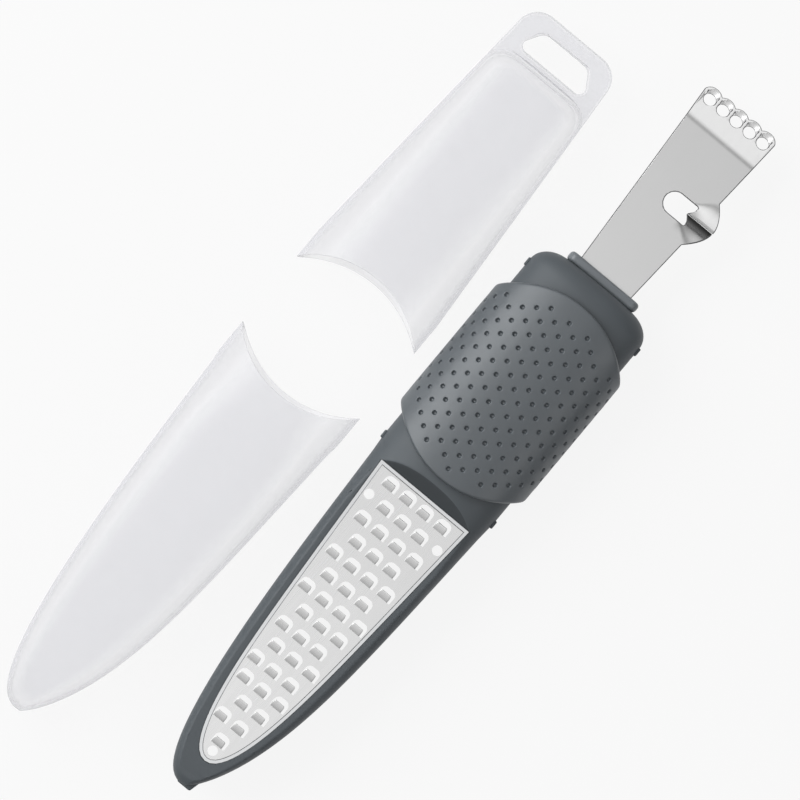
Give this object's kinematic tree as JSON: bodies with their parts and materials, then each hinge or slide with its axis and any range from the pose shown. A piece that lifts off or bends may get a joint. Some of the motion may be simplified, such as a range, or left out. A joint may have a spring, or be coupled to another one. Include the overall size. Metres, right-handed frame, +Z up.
{
  "type": "hand zester",
  "caption": "Hand zester with a stamped grater in a moulded frame, a bent zester blade with a channel knife, a soft dimpled grip and frosted slip-on covers laid beside it.",
  "frame": {"origin": "on the bench, in the middle of the flat on the underside of the grip", "axes": "+X runs along the tool to the zester blade, +Y to the covers laid beside it, +Z up out of the grater's face"},
  "size_m": [0.2646, 0.0948, 0.0271],
  "materials": {
    "body_plastic": "satin moulded slate grey",
    "grip_rubber": "soft matt grey with small round dimples",
    "stainless": "fine brushed, cut edges bright",
    "frosted_plastic": "translucent, finely frosted"
  },
  "bodies": {
    "tool": {"handle_body": "body_plastic", "grip_sleeve": "grip_rubber", "blade_collar": "body_plastic", "zester_blade": "stainless", "tang_pin_1": "stainless", "tang_pin_2": "stainless", "grater_plate": "stainless"},
    "grater_cover": {"grater_cover": "frosted_plastic"},
    "zester_cover": {"zester_cover": "frosted_plastic"}
  },
  "joints": [
    {"name": "grater_cover_slide", "type": "slide", "parent": "tool", "child": "grater_cover", "axis": [-1, 0, 0], "range_m": [0, 0.124]},
    {"name": "zester_cover_slide", "type": "slide", "parent": "tool", "child": "zester_cover", "axis": [1, 0, 0], "range_m": [0, 0.082]}
  ]
}
